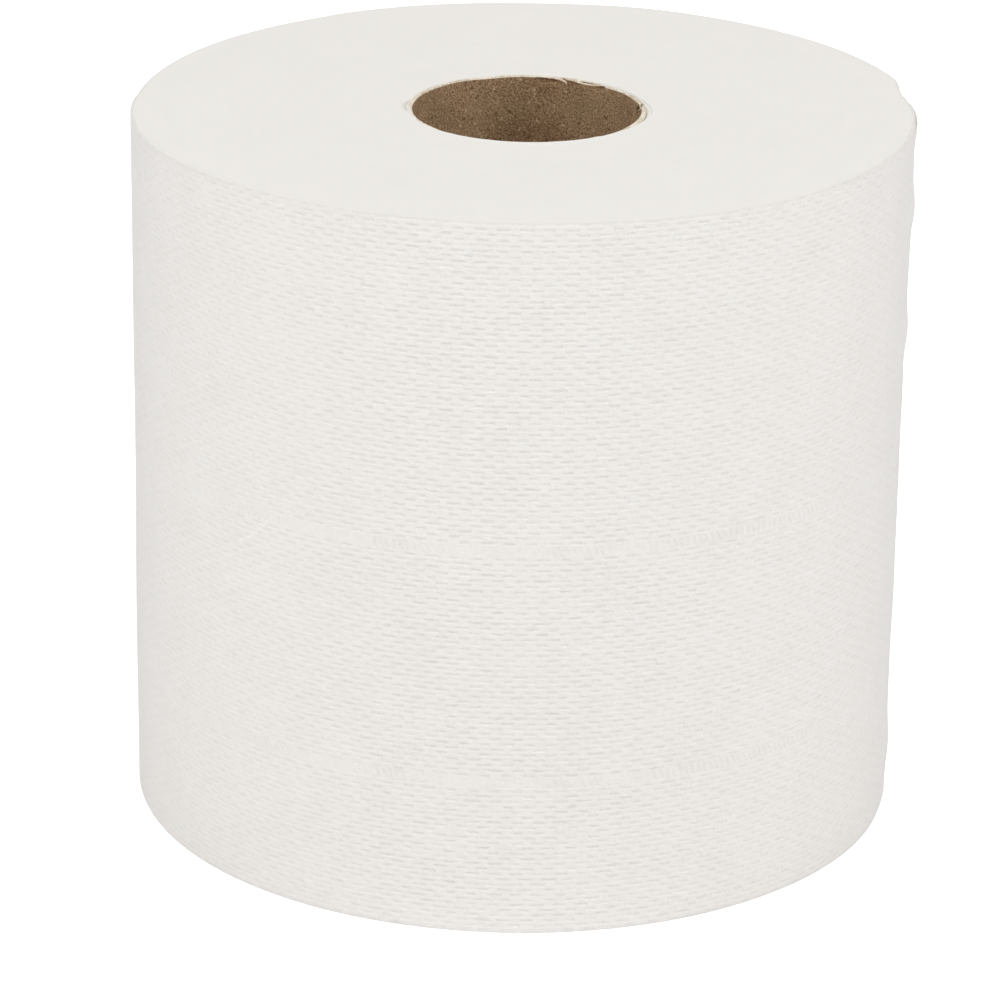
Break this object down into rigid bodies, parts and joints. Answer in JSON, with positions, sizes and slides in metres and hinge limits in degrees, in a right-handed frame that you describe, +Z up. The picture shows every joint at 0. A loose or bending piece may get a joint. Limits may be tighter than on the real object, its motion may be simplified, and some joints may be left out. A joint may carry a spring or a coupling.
{
  "type": "center pull paper towel roll",
  "caption": "Wide round roll of embossed white paper towel, standing on its end, wound on a plain board tube with an open bore; the web's free end stands off a little at one side.",
  "frame": {"origin": "centre of the lower end, on the core's axis, in the plane that the roll stands on", "axes": "+Z up the core's axis, +X towards the side where the web's free end lies, -Y towards the viewer"},
  "size_m": [0.2057, 0.2046, 0.19],
  "materials": {
    "tissue": "matte",
    "core_board": "matte"
  },
  "bodies": {
    "root": {"paper_roll": "tissue", "core_tube": "core_board"}
  },
  "joints": []
}
